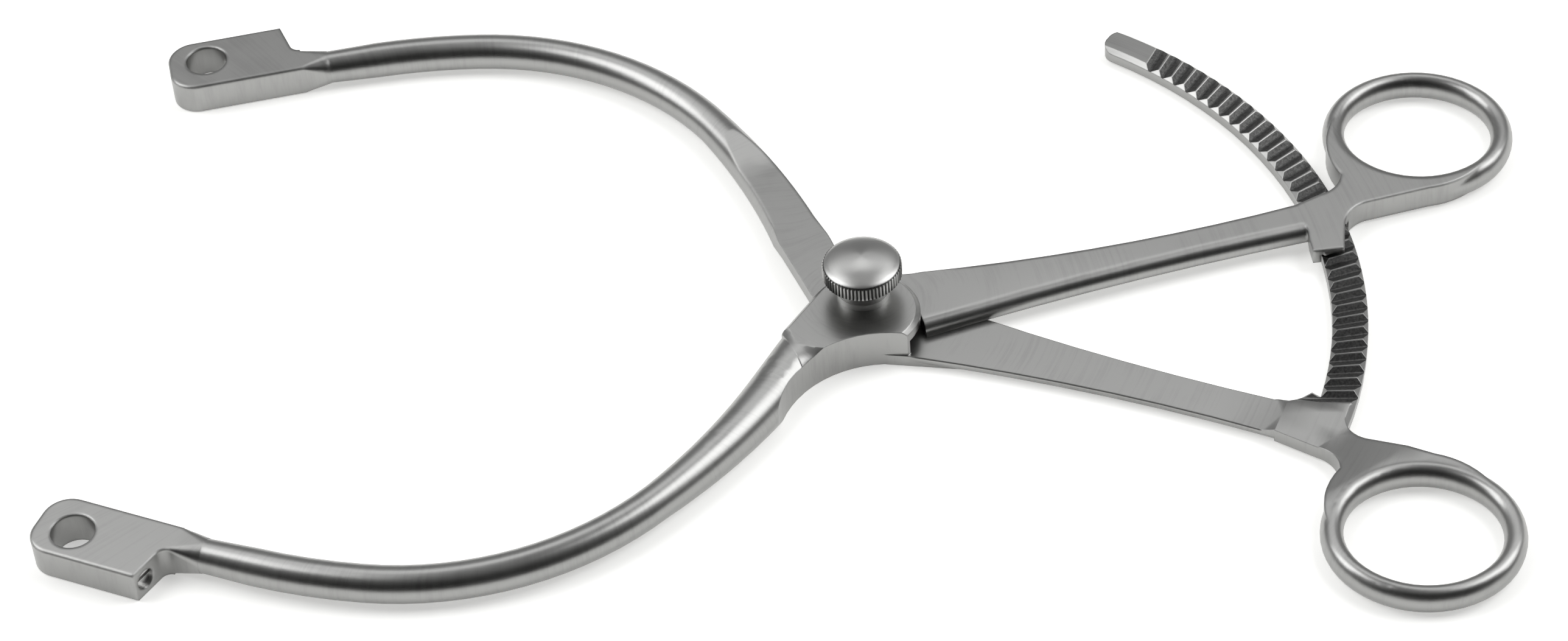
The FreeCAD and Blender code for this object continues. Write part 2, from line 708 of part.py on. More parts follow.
def flat_plate():
    """Tongue in the slot and the handle, in one flat plate with a soft shoulder."""
    far, near = handle_edges(FLAT_HANDLE)
    heel = heel_place(near)
    touch = tangent_angle(TONGUE_R, INNER_EDGE)
    disc_in = polar(TONGUE_R, touch)
    disc_out = polar(TONGUE_R, -20.0)
    waist = OUTER_EDGE - ROOT_DIR * 8.0
    crook = V(waist.x / 2 + far[0].x / 2 - 3.6, far[0].y + 1.6, 0)
    edges = [
        line(INNER_EDGE, disc_in),
        arc(disc_in, polar(TONGUE_R, (touch - 20.0 + 360.0) / 2), disc_out),
        line(disc_out, heel + HEEL_NOTCH),
        line(heel + HEEL_NOTCH, heel),
        arc(heel, near[1], near[2]),
        line(near[2], far[2]),
        arc(far[2], far[1], far[0]),
        arc(far[0], crook, waist),
        line(waist, OUTER_EDGE),
        line(OUTER_EDGE, INNER_EDGE),
    ]
    plate = prism(edges, TONGUE_Z, TONGUE_TOP)
    shoulder = [e for e in top_rim(plate, TONGUE_TOP, 40) if e.BoundBox.YMin < 0]
    return plate.makeFillet(HANDLE_SHOULDER_R, shoulder)


def flat_web():
    """Web to the flat arm's ring, with the thin tab and the pawl's tooth over the bar."""
    far, near = handle_edges(FLAT_HANDLE)
    short, corner_y = FLAT_BAR_CORNER
    tab = [
        near[2],
        polar(BAR_R - TAB_IN, TAB_ROOT_ANGLE),
        polar(BAR_R - TAB_IN, TAB_END_ANGLE),
        polar(BAR_R + TAB_PAST, TAB_END_ANGLE),
    ]
    web = ring_web(far[2], tab, V(BAR_OUT - short, corner_y, 0), BAR_TOP - BAR_T, TONGUE_TOP)
    channel_out = BAR_OUT + BAR_SIDE_CLEAR
    channel_in = BAR_IN - BAR_SIDE_CLEAR
    web = web.cut(cylinder(channel_out, -1, TONGUE_Z))
    web = web.cut(bar_channel(BAR_TOP + BAR_CLEAR))
    pocket = cylinder(channel_out, BAR_TOP - 1, TONGUE_TOP - PAWL_T)
    pocket = pocket.cut(cylinder(channel_in, BAR_TOP - 2, TONGUE_TOP))
    sector = prism([
        line(V(0, 0, 0), polar(FAR * 2, TAB_END_ANGLE - STOP_MARGIN)),
        line(polar(FAR * 2, TAB_END_ANGLE - STOP_MARGIN), polar(FAR * 2, POCKET_END_ANGLE)),
        line(polar(FAR * 2, POCKET_END_ANGLE), V(0, 0, 0)),
    ], -1, BOX_TOP)
    web = web.cut(pocket.common(sector))
    lift = TOOTH_DEPTH + PAWL_TOOTH_CLEAR
    ceiling = TONGUE_TOP - PAWL_T + 0.3
    tooth = tooth_form(PAWL_GROOVE, BAR_IN + 0.2, BAR_R + 0.2, BAR_TOP - TOOTH_DEPTH + lift,
                       BAR_TOP + lift, ceiling)
    return web.fuse(tooth)


def bar_channel(top):
    """Room for the ratchet bar under the flat arm."""
    channel = cylinder(BAR_OUT + BAR_SIDE_CLEAR, -1, top)
    return channel.cut(cylinder(BAR_IN - BAR_SIDE_CLEAR, -2, top + 1))


def flat_arm():
    """Arm, flat tongue, handle, pawl and ring in one forging."""
    arm = round_arm()
    rise = BOX_TOP - TONGUE_TOP
    top = Part.makeCone(FLAT_TOP_REACH, FLAT_TOP_REACH + FLAT_RAMP * rise, rise, V(0, 0, TONGUE_TOP))
    under = Part.makeCone(FLAT_UNDER_REACH + FLAT_RAMP * TONGUE_Z, FLAT_UNDER_REACH, TONGUE_Z)
    arm = arm.cut(top).cut(under)
    ring = finger_ring().cut(bar_channel(BAR_TOP + BAR_CLEAR))
    plate = flat_plate().cut(bar_channel(BAR_TOP + BAR_CLEAR))
    body = arm.fuse([plate, flat_web(), ring])
    body = body.cut(cylinder(SCREW_D / 2 + SCREW_FIT, -1, BOX_TOP + 1))
    return body.fuse(blade_block())


def thumb_screw():
    """Domed, knurled knob with a polished neck and the shank that the arms turn on."""
    neck_z = BOX_TOP + COLLAR_T
    rim_z = neck_z + NECK_H
    rim_top = rim_z + KNOB_RIM_H
    top = rim_top + KNOB_DOME_H
    dome_edge = KNOB_R - KNOB_EDGE
    points = [
        V(0, 0, SCREW_SHORT),
        V(SCREW_D / 2, 0, SCREW_SHORT),
        V(SCREW_D / 2, 0, neck_z),
        V(NECK_R, 0, neck_z),
        V(NECK_R, 0, rim_z),
        V(dome_edge, 0, rim_z),
        V(KNOB_R, 0, rim_z + KNOB_EDGE),
        V(KNOB_R, 0, rim_top - KNOB_EDGE),
        V(dome_edge, 0, rim_top),
    ]
    edges = [line(p, q) for p, q in zip(points, points[1:])]
    dome_r = (dome_edge ** 2 + KNOB_DOME_H ** 2) / (2 * KNOB_DOME_H)
    mid_x = dome_edge / 2
    dome_mid = V(mid_x, 0, top - dome_r + math.sqrt(dome_r ** 2 - mid_x ** 2))
    edges.append(arc(points[-1], dome_mid, V(0, 0, top)))
    edges.append(line(V(0, 0, top), points[0]))
    screw = Part.Face(Part.Wire(edges)).revolve(V(0, 0, 0), UP, 360)
    star = []
    for i in range(KNURL_COUNT):
        step = 360.0 / KNURL_COUNT
        star.append(polar(KNOB_R, i * step))
        star.append(polar(KNOB_R - KNURL_DEPTH, (i + 0.5) * step))
    return screw.common(polygon(star, -1, top + 1))


def collar():
    ring = cylinder(COLLAR_R, BOX_TOP, BOX_TOP + COLLAR_T)
    return ring.cut(cylinder(SCREW_D / 2 + COLLAR_FIT, BOX_TOP - 1, BOX_TOP + COLLAR_T + 1))


def export(name, shape):
    print(name, len(shape.Solids), "solid", round(shape.Volume, 2), "valid", shape.isValid())
    shape.exportStep("parts/" + name + ".step")


def main():
    os.makedirs("parts", exist_ok=True)
    export("slotted_arm", slotted_arm())
    export("flat_arm", flat_arm())
    export("thumb_screw", thumb_screw())
    export("collar", collar())
    for side, place in (("flat", lambda s: s), ("slotted", mirrored)):
        export("set_screw_" + side, place(set_screw()))
        export("detent_spring_" + side, place(detent_spring()))
        export("detent_ball_" + side, place(detent_ball()))


main()
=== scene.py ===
import bmesh
import bpy
import json
import math
from mathutils import Matrix, Vector

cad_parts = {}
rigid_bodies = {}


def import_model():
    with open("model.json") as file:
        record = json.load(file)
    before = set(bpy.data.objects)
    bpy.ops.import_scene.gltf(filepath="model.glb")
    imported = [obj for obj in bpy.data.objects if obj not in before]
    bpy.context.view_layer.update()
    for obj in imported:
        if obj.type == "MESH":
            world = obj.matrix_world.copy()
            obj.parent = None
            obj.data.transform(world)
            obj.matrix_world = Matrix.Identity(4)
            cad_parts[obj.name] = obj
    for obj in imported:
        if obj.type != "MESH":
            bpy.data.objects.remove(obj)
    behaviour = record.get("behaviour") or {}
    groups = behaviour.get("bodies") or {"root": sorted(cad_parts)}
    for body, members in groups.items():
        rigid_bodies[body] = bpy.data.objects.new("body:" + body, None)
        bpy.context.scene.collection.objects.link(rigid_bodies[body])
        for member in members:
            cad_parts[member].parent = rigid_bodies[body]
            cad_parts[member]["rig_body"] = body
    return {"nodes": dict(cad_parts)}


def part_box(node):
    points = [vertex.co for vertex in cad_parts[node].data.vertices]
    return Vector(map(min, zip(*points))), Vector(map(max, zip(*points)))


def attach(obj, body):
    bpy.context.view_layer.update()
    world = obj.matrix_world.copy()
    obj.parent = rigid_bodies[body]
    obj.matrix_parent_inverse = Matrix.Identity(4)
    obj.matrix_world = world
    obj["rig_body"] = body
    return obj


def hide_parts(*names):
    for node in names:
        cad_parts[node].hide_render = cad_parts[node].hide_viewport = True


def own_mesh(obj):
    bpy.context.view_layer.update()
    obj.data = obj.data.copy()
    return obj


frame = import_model()

bl_info = {
    "name": "Self Retaining Retractor",
    "version": (1, 0, 0),
    "blender": (4, 5, 0),
    "location": "View3D > Sidebar > Retractor",
    "description": "Finishes the retractor's solids in satin steel and sets them in a soft studio",
    "category": "Mesh",
}

MM = 0.001

# Sizes of the instrument that the finishes follow, in millimetres and degrees
BEND_X = -64.9
BEND_Y = 3.9
BEND_R = 59.0
BAR_R = 88.5
BAR_W = 6.5
BAR_TOP = 3.3
TOOTH_DEPTH = 0.8
CREST_ANGLE_LOW = -14.6
CREST_ANGLE_HIGH = 55.2
RIM_Z = 12.5
RIM_TOP_Z = (15.9, 15.5)
NECK_R = 4.6
KNOB_R = 7.3
RIB_DEPTH = 0.35
BALL_TRAVEL = 0.2

# Where one finish goes over into another: from and to, in millimetres. The round arms and the blade
# blocks are measured along -x, the webs of the rings from the joint, the flat arm's handle along x
# and the rest of the flat arm along y
TO_ARM = (12.0, 30.0)
TO_BLOCK = (106.0, 112.0)
TO_WEB = (91.5, 95.0)
TO_HANDLE = (14.0, 22.0)
TO_FLAT_ARM = (18.0, 24.0)

# Satin steel: how fast the streaks change round the joint, per radian, and with height, per
# millimetre, and what streaks and cloudy patches add to the tone, the roughness and the relief
STREAKS_ACROSS = 1.5
STREAKS_UP = 0.12
SATIN_TONE, STREAK_TONE, CLOUD_TONE = 0.7, 0.34, 0.24
SATIN_POLISH, STREAK_ROUGHNESS, CLOUD_ROUGHNESS = 0.05, 0.05, 0.06
STREAK_RELIEF, GRAIN_RELIEF = 0.7, 0.3

# Painted shade in the ratchet's grooves: the heights between which it lifts towards a crest, and the
# shaded steel's tones
CREST_Z = (BAR_TOP - 0.16, BAR_TOP - 0.02)
SHADE_STOPS = ((0.3, 0.05), (0.75, 0.16))
CREST_SHADE_LIFT = 0.3
GROOVE_ROUGHNESS = 0.5
CREST_POLISH = 0.15
SCRAPE_DEPTH = 0.02

# Turned steel: turning rings per millimetre, the knurl's lower edge and valleys with their painted
# shade, and the neck with its painted highlight
RINGS_PER_MM = 9.0
RIM_EDGE_Z = (RIM_Z - 0.05, RIM_Z + 0.05)
VALLEY_R = (KNOB_R - RIB_DEPTH * 0.3, KNOB_R - RIB_DEPTH * 0.75)
VALLEY_FLOOR_R = KNOB_R - RIB_DEPTH - 0.06
VALLEY_SHADE = 0.88
NECK_TOP_Z = RIM_Z - 0.02
NECK_SIDE_R = NECK_R + 0.1
NECK_PAINTED_HIGHLIGHT = 0.8
NECK_ROUGHNESS = 0.1
TURNED_GREY = 1.25
TURNED_TONE, RING_TONE = 0.86, 0.16
TURNED_ROUGHNESS, TURNED_CLOUD = 0.27, 0.06
TURNED_ANISOTROPY = 0.6

# Plain steel: what its grain does to the tone and the roughness, and the grain's depth
PLAIN_TONE, GRAIN_TONE = 0.9, 0.15
GRAIN_POLISH, GRAIN_ROUGHNESS = 0.03, 0.06
GRAIN_DEPTH = 0.004

# How faces inside the ratchet's grooves are told from the faces round them
BAR_MARGIN = 0.1
GROOVE_MARGIN = 0.05
LAST_GROOVE_DEGREES = 0.6
GROOVE_UPWARD = 0.05
BAR_SIDE_RADIAL = 0.5

# Centre line of a round arm: start, heading, the radius and turn of its bends, and its straight tip
ARM_START = Vector((-15.1, 21.7, 2.95))
ARM_HEADING = 115.6
ARM_BENDS = ((134.8, 14.06), (59.1, 53.8), (109.4, 10.6))
ARM_TIP_RUN = 10.4
ARM_Z = 3.45
ARM_ROOT_R = 4.7
ARM_R = 3.4
ARM_TIP_R = 3.1

# Which vertices and corners count as lying on a round arm
TIP_REACH = ARM_R * 1.2
ROUND_MARGIN = 0.1
ROUND_COSINE = 0.96

# Forms left at the round arms' roots where they run into the joint, in millimetres along the arm's
# axis from ARM_START. The cheek's form swells with the slotted arm, and past SIDE_EASE and TOP_EASE
# it opens out by a parabola, so that the flat top ends in a round tongue. CHEEK_SKEW and WAIST_ROUND
# turn and round that end. Its outer side leans in as far as the hip, and less past it
SINK = 15.0
SIDE_EASE = 5.5
SIDE_OPENS = 0.15
TOP_EASE = 9.0
TOP_OPENS = 0.12
CHEEK_SKEW = 3.5
WAIST_ROUND = 3.0
CHEEK_HALF_HEIGHT = 5.04
CHEEK_HALF_WIDTH = 5.2
OUTER_SIDE = 5.24
HIP_RUN = 10.76
LEAN_TO_HIP = 0.2
LEAN_PAST_HIP = 0.049
ROOT_TRIM = 0.005
ROOT_SWELL = 0.041

# The flat arm's form swells into its plate, between sides that are trimmed just outside the arm
FLAT_SINK = 12.0
TONGUE_SWELL = 0.1
SIDE_CLEAR = 0.01
INNER_SIDE_LEAN = 0.0402

# The block that a root's form is cut out of, the form's own overrun, steps and weld, and the width
# that stands for a side with no trim, in millimetres
BLOCK_BACK = 0.1
BLOCK_WIDTH = 30.0
BLOCK_HEIGHT = 13.0
BLOCK_MIDDLE = 2.5
FORM_OVERRUN = 1.0
FORM_STEPS = 96
FORM_WELD = 1e-4
UNTRIMMED = 30.0

# Merging and shading of the copied solids
WELD = 0.002
SHARP_DEGREES = 28.0
EVEN_WEIGHT = 50

# The floor lies this far under the instrument, in metres, so that the two don't flicker
FLOOR_DROP = 0.00002
FLOOR_HALF = 4.0

# Lamps: name, place and size in metres, and power in watts
LAMPS = (
    ("left_softbox", (-0.75, 0.15, 0.8), (0.6, 0.9), 5.6),
    ("right_softbox", (0.75, 0.1, 0.8), (0.6, 0.9), 5.6),
    ("back_panel", (0.0, 1.1, 1.6), (2.4, 0.8), 7.5),
)

# Room light: its level behind the camera, and how much it rises to the sides and to the back, each
# between two values of how far a direction faces the back
ROOM_LEVEL = 0.02
TO_SIDES = (-0.8, -0.2)
SIDES_RISE = 0.15
TO_BACK = (-0.2, 0.7)
BACK_RISE = 0.17

# Greys are a touch warm: their blue is this share of the rest
WARM_BLUE = 0.985
BLACK = (0.0, 0.0, 0.0, 1.0)
WHITE = (1.0, 1.0, 1.0, 1.0)


class Wire:
    """A shader socket that can stand in a Python sum."""

    def __init__(self, sheet, socket):
        self.sheet = sheet
        self.socket = socket

    def __add__(self, other):
        return self.sheet.maths("ADD", self, other)

    def __sub__(self, other):
        return self.sheet.maths("SUBTRACT", self, other)

    def __rsub__(self, other):
        return self.sheet.maths("SUBTRACT", other, self)

    def __mul__(self, other):
        return self.sheet.maths("MULTIPLY", self, other)

    def __lt__(self, other):
        return self.sheet.maths("LESS_THAN", self, other)

    def __gt__(self, other):
        return self.sheet.maths("GREATER_THAN", self, other)

    __radd__ = __add__
    __rmul__ = __mul__


class Sheet:
    """The node tree of one material or of the world."""

    def __init__(self, tree):
        self.tree = tree
        self.tree.nodes.clear()

    def node(self, kind, settings=None, **sockets):
        """A node with its settings made first and then its sockets, by name or as i0, i1 by place."""
        made = self.tree.nodes.new(kind)
        for key, value in (settings or {}).items():
            if key == "stops":
                self.set_stops(made.color_ramp, value)
            else:
                setattr(made, key, value)
        for key, value in sockets.items():
            by_place = key[0] == "i" and key[1:].isdigit()
            place = int(key[1:]) if by_place else key.replace("_", " ")
            self.feed(made.inputs[place], value)
        return made

    def set_stops(self, ramp, stops):
        while len(ramp.elements) < len(stops):
            ramp.elements.new(1.0)
        for element, (place, level) in zip(ramp.elements, stops):
            element.position = place
            element.color = (level, level, level, 1.0)

    def feed(self, socket, value):
        if isinstance(value, Wire):
            self.tree.links.new(value.socket, socket)
        else:
            socket.default_value = value

    def wire(self, node, output=0):
        return Wire(self, node.outputs[output])

    def maths(self, operation, *values):
        sockets = {f"i{n}": value for n, value in enumerate(values)}
        return self.wire(self.node("ShaderNodeMath", {"operation": operation}, **sockets))

    def larger(self, first, second):
        return self.maths("MAXIMUM", first, second)

    def smooth_step(self, value, low, high):
        """0 below low, 1 above high, eased between. With low above high it falls instead."""
        return self.wire(self.node("ShaderNodeMapRange", {"interpolation_type": "SMOOTHSTEP"},
                                   Value=value, From_Min=low, From_Max=high))

    def ramp(self, value, stops):
        return self.wire(self.node("ShaderNodeValToRGB", {"stops": stops}, Fac=value))

    def shade(self, level, colour):
        """A colour at a level between black and its full strength."""
        return self.wire(self.node("ShaderNodeMix", {"data_type": "RGBA"},
                                   i0=level, i6=BLACK, i7=colour), 2)

    def place_mm(self):
        """Object coordinates in millimetres, as a vector and as three numbers."""
        at = self.wire(self.node("ShaderNodeTexCoord"), "Object")
        vector = self.wire(self.node("ShaderNodeVectorMath", {"operation": "SCALE"},
                                     i0=at, Scale=1 / MM))
        parts = self.node("ShaderNodeSeparateXYZ", i0=vector)
        return vector, [self.wire(parts, axis) for axis in range(3)]

    def reach(self, x, y):
        """How far a place is from the joint's axis."""
        return self.maths("SQRT", x * x + y * y)

    def point(self, x, y, z):
        return self.wire(self.node("ShaderNodeCombineXYZ", i0=x, i1=y, i2=z))

    def noise(self, vector, scale, detail, roughness):
        return self.wire(self.node("ShaderNodeTexNoise", Vector=vector, Scale=scale,
                                   Detail=detail, Roughness=roughness))

    def bump(self, height, distance_mm, normal=None):
        made = self.node("ShaderNodeBump", Height=height, Strength=1.0, Distance=distance_mm * MM)
        if normal is not None:
            self.feed(made.inputs["Normal"], normal)
        return self.wire(made)

    def soft_edges(self, factor, first_mm, second_mm):
        """A normal that rounds sharp edges off by one radius or, where the factor is 1, by another."""
        first, second = (self.wire(self.node("ShaderNodeBevel", {"samples": 6}, Radius=size * MM))
                         for size in (first_mm, second_mm))
        mixed = self.wire(self.node("ShaderNodeMix", {"data_type": "VECTOR"},
                                    i0=factor, i4=first, i5=second), 1)
        return self.wire(self.node("ShaderNodeVectorMath", {"operation": "NORMALIZE"}, i0=mixed))

    def metal(self, colour, roughness, normal, anisotropic=0.0):
        """Ends the tree in one metal shader."""
        shader = self.node("ShaderNodeBsdfPrincipled", Base_Color=colour, Roughness=roughness,
                           Metallic=1.0, Normal=normal, Anisotropic=anisotropic)
        self.node("ShaderNodeOutputMaterial", Surface=self.wire(shader))


def new_material(name):
    material = bpy.data.materials.new(name)
    material.use_nodes = True
    return material, Sheet(material.node_tree)


def grey(level):
    return (level, level, level * WARM_BLUE, 1.0)


def satin_steel(settings, name, wide_handle):
    """Belt-ground steel: fine streaks across the handles and, round the bend's centre, the arms."""
    material, sheet = new_material(name)
    vector, (x, y, z) = sheet.place_mm()
    side = sheet.maths("ABSOLUTE", y)
    turn = sheet.maths("ARCTAN2", side - BEND_Y, x - BEND_X)
    on_arm = sheet.smooth_step(x * -1.0, *TO_ARM)
    reach = sheet.reach(x, y)
    along = turn * BEND_R * on_arm + reach * (1.0 - on_arm)
    across = sheet.maths("ARCTAN2", y, x)
    streak_at = sheet.point(along * settings.streaks_per_mm, across * STREAKS_ACROSS, z * STREAKS_UP)
    streaks = sheet.noise(streak_at, scale=1.0, detail=3.0, roughness=0.65)
    grain = sheet.noise(vector, scale=9.0, detail=2.0, roughness=0.6)
    cloud = sheet.noise(vector, scale=0.12, detail=3.0, roughness=0.5)
    level = SATIN_TONE + streaks * STREAK_TONE + cloud * CLOUD_TONE
    colour = sheet.shade(level, grey(settings.steel_grey))
    base = settings.roughness - SATIN_POLISH
    roughness = base + cloud * CLOUD_ROUGHNESS + streaks * STREAK_ROUGHNESS
    wide = sheet.larger(sheet.smooth_step(x * -1.0, *TO_BLOCK), sheet.smooth_step(reach, *TO_WEB))
    if wide_handle:
        on_handle = sheet.smooth_step(x, *TO_HANDLE)
        on_flat_arm = sheet.smooth_step(y, *TO_FLAT_ARM)
        wide = sheet.larger(wide, sheet.larger(on_handle, on_flat_arm))
    edges = sheet.soft_edges(wide, settings.edge_mm, settings.wide_edge_mm)
    relief = streaks * STREAK_RELIEF + grain * GRAIN_RELIEF
    normal = sheet.bump(relief, settings.streak_depth_mm, edges)
    sheet.metal(colour, roughness, normal)
    return material


def shaded_groove_steel():
    """Painted shade for the ratchet's grooves: dark steel, lifting to lighter towards the crests."""
    material, sheet = new_material("ratchet_painted_shade")
    vector, (_, _, z) = sheet.place_mm()
    # Painted shade: the grooves' colour is darkened, less so towards the crests
    crest = sheet.smooth_step(z, *CREST_Z)
    scrape = sheet.noise(vector, scale=2.2, detail=4.0, roughness=0.7)
    painted_dark = sheet.ramp(scrape, SHADE_STOPS)
    colour = sheet.shade(painted_dark + crest * CREST_SHADE_LIFT, grey(1.0))
    roughness = GROOVE_ROUGHNESS - crest * CREST_POLISH
    sheet.metal(colour, roughness, sheet.bump(scrape, SCRAPE_DEPTH))
    return material


def turned_steel(settings):
    """Lathe-turned steel: fine rings about the screw's axis, painted shade in the knurl's valleys, and
    a painted highlight that brightens the neck.
    """
    material, sheet = new_material("turned_steel")
    vector, (x, y, z) = sheet.place_mm()
    radius = sheet.reach(x, y)
    ring_at = sheet.point(radius * RINGS_PER_MM, z * RINGS_PER_MM, 0.0)
    rings = sheet.noise(ring_at, scale=1.0, detail=3.0, roughness=0.7)
    cloud = sheet.noise(vector, scale=0.5, detail=2.0, roughness=0.5)
    over_edge = sheet.smooth_step(z, *RIM_EDGE_Z)
    under_dome = sheet.smooth_step(z, *RIM_TOP_Z)
    # Painted shade: the colour is darkened in the knurl's valleys
    painted_valley_shade = sheet.smooth_step(radius, *VALLEY_R) * (over_edge * under_dome)
    neck = (radius < NECK_SIDE_R) * (z < NECK_TOP_Z)
    bright = 1.0 - painted_valley_shade * VALLEY_SHADE * (radius > VALLEY_FLOOR_R)
    # Painted highlight: the neck's colour is made brighter, standing in for its reflections
    level = (TURNED_TONE + rings * RING_TONE) * bright * (1.0 + neck * NECK_PAINTED_HIGHLIGHT)
    colour = sheet.shade(level, grey(settings.steel_grey * TURNED_GREY))
    roughness = TURNED_ROUGHNESS + cloud * TURNED_CLOUD + neck * NECK_ROUGHNESS
    normal = sheet.bump(rings, settings.turning_depth_mm)
    sheet.metal(colour, roughness, normal, anisotropic=TURNED_ANISOTROPY)
    return material


def plain_steel(name, level, roughness):
    """Evenly finished steel with a little grain."""
    material, sheet = new_material(name)
    vector, _ = sheet.place_mm()
    grain = sheet.noise(vector, scale=4.0, detail=3.0, roughness=0.6)
    colour = sheet.shade(PLAIN_TONE + grain * GRAIN_TONE, grey(level))
    varied = roughness - GRAIN_POLISH + grain * GRAIN_ROUGHNESS
    sheet.metal(colour, varied, sheet.bump(grain, GRAIN_DEPTH))
    return material


def in_scene(bm, name):
    """A bmesh as an object of the scene."""
    mesh = bpy.data.meshes.new(name)
    bm.to_mesh(mesh)
    bm.free()
    piece = bpy.data.objects.new(name, mesh)
    bpy.context.scene.collection.objects.link(piece)
    return piece


def as_shown(piece):
    """A new mesh of a piece with its modifiers applied, which it then no longer has."""
    view = bpy.context.evaluated_depsgraph_get()
    mesh = bpy.data.meshes.new_from_object(piece.evaluated_get(view))
    piece.modifiers.clear()
    return mesh


def cut_away(piece, tool):
    """Takes one object's form out of another and drops the tool."""
    knife = piece.modifiers.new("cut", "BOOLEAN")
    knife.operation = "DIFFERENCE"
    knife.object = tool
    piece.data = as_shown(piece)
    bpy.data.objects.remove(tool)


def root_frame(sign):
    """Millimetres along an arm's axis into the joint, across it and up, as places in the scene."""
    heading = math.radians(ARM_HEADING)
    into = Vector((-math.cos(heading), -math.sin(heading) * sign, 0.0))
    aside = Vector((-math.sin(heading), math.cos(heading) * sign, 0.0))
    place = Matrix((into, aside, Vector((0, 0, 1)))).transposed().to_4x4()
    place.translation = (ARM_START.x, ARM_START.y * sign, ARM_START.z)
    return Matrix.Scale(MM, 4) @ place


def at_root(bm, sign, name):
    """Sets a closed form at an arm's root, with its faces outwards."""
    bmesh.ops.transform(bm, matrix=root_frame(sign), verts=bm.verts)
    bmesh.ops.recalc_face_normals(bm, faces=bm.faces)
    return in_scene(bm, name)


def root_form(sign, sink, half_height, half_width, sides):
    """A spun rod, drawn out to the given half sizes at each place and trimmed at its sides."""
    bm = bmesh.new()
    steps = 2 * int(sink) + 4
    length = sink + 2 * FORM_OVERRUN
    profile = [bm.verts.new((-FORM_OVERRUN, 0.0, 0.0))]
    profile += [bm.verts.new((-FORM_OVERRUN + length * n / steps, 0.0, 1.0)) for n in range(steps + 1)]
    profile.append(bm.verts.new((sink + FORM_OVERRUN, 0.0, 0.0)))
    chain = [bm.edges.new(pair) for pair in zip(profile, profile[1:])]
    bmesh.ops.spin(bm, geom=profile + chain, cent=(0, 0, 0), axis=(1, 0, 0), angle=math.tau,
                   steps=FORM_STEPS, use_merge=True)
    bmesh.ops.remove_doubles(bm, verts=bm.verts, dist=FORM_WELD)
    for vertex in bm.verts:
        run, aside, up = vertex.co
        near, far = sides(run)
        vertex.co.y = min(max(aside * half_width(run, aside), near), far)
        vertex.co.z = up * half_height(run, aside)
    return at_root(bm, sign, "root_form")


def root_tool(sign, sink, half_height, half_width, sides):
    """What is cut away round an arm's root, so that only the form is left."""
    form = root_form(sign, sink, half_height, half_width, sides)
    bm = bmesh.new()
    bmesh.ops.create_cube(bm, size=1.0)
    bmesh.ops.scale(bm, verts=bm.verts, vec=(sink + BLOCK_BACK, BLOCK_WIDTH, BLOCK_HEIGHT))
    bmesh.ops.translate(bm, verts=bm.verts, vec=(sink / 2 - BLOCK_BACK / 2, 0.0, BLOCK_MIDDLE))
    tool = at_root(bm, sign, "root_tool")
    cut_away(tool, form)
    return tool


def cheek_tool():
    """Eases the cheek's end into the slotted arm, so that its flat top ends in a round tongue."""
    def size(run, aside, limit, ease_from, opens):
        skewed = run - CHEEK_SKEW * aside - WAIST_ROUND * min(0.0, aside) ** 2
        ease = max(0.0, skewed - ease_from)
        return min(ARM_ROOT_R - ROOT_TRIM + run * ROOT_SWELL, limit) + opens * ease ** 2

    def half_height(run, aside):
        return size(run, aside, CHEEK_HALF_HEIGHT, TOP_EASE, TOP_OPENS)

    def half_width(run, aside):
        return size(run, aside, CHEEK_HALF_WIDTH, SIDE_EASE, SIDE_OPENS)

    def sides(run):
        to_hip = max(0.0, min(run, HIP_RUN) - SIDE_EASE)
        past_hip = max(0.0, run - HIP_RUN)
        return -UNTRIMMED, OUTER_SIDE - to_hip * LEAN_TO_HIP - past_hip * LEAN_PAST_HIP

    return root_tool(-1.0, SINK, half_height, half_width, sides)


def tongue_tool():
    """Eases the flat arm's plate into the round arm and trims its sides."""
    def half_size(run, aside):
        return ARM_ROOT_R - ROOT_TRIM + run * TONGUE_SWELL

    def sides(run):
        return -ARM_ROOT_R - SIDE_CLEAR, ARM_ROOT_R + SIDE_CLEAR - run * INNER_SIDE_LEAN

    return root_tool(1.0, FLAT_SINK, half_size, half_size, sides)


def copy_of_node(name, piece_name, tool=None):
    """A CAD node's mesh, merged, cut with the tool and smooth shaded between its sharp edges."""
    node = frame["nodes"][name]
    bm = bmesh.new()
    bm.from_mesh(node.data)
    bmesh.ops.remove_doubles(bm, verts=bm.verts, dist=WELD * MM)
    piece = in_scene(bm, piece_name)
    if tool:
        cut_away(piece, tool)
    bm = bmesh.new()
    bm.from_mesh(piece.data)
    limit = math.radians(SHARP_DEGREES)
    for face in bm.faces:
        face.smooth = True
    for edge in bm.edges:
        edge.smooth = len(edge.link_faces) == 2 and edge.calc_face_angle(0.0) < limit
    bm.to_mesh(piece.data)
    bm.free()
    weigh = piece.modifiers.new("even_shading", "WEIGHTED_NORMAL")
    weigh.keep_sharp = True
    weigh.weight = EVEN_WEIGHT
    return piece


def across(heading):
    """The way to the left of a heading."""
    return Vector((-math.sin(heading), math.cos(heading), 0.0))


def arm_axis(point):
    """The nearest place on a round arm's centre line and the arm's radius there, or None."""
    flat = Vector((point.x, abs(point.y), 0.0))
    start = ARM_START.copy()
    start.z = 0.0
    heading = math.radians(ARM_HEADING)
    for number, (radius, degrees) in enumerate(ARM_BENDS):
        centre = start + across(heading) * radius
        turn = math.radians(degrees)
        inward = (centre - flat).normalized()
        share = (math.atan2(-inward.x, inward.y) - heading) % math.tau / turn
        if share <= 1.0 and abs((centre - flat).length - radius) < ARM_ROOT_R:
            place = centre - inward * radius
            swell = 1.0 - share if number == 0 else 0.0
            place.z = ARM_Z + (ARM_START.z - ARM_Z) * swell
            return place, ARM_R + (ARM_ROOT_R - ARM_R) * swell
        heading += turn
        start = centre - across(heading) * radius
    way = Vector((math.cos(heading), math.sin(heading), 0.0))
    run = (flat - start).dot(way)
    if 0.0 <= run <= ARM_TIP_RUN and (flat - start - way * run).length < TIP_REACH:
        place = start + way * run
        place.z = ARM_Z
        return place, ARM_R + (ARM_TIP_R - ARM_R) * run / ARM_TIP_RUN
    return None


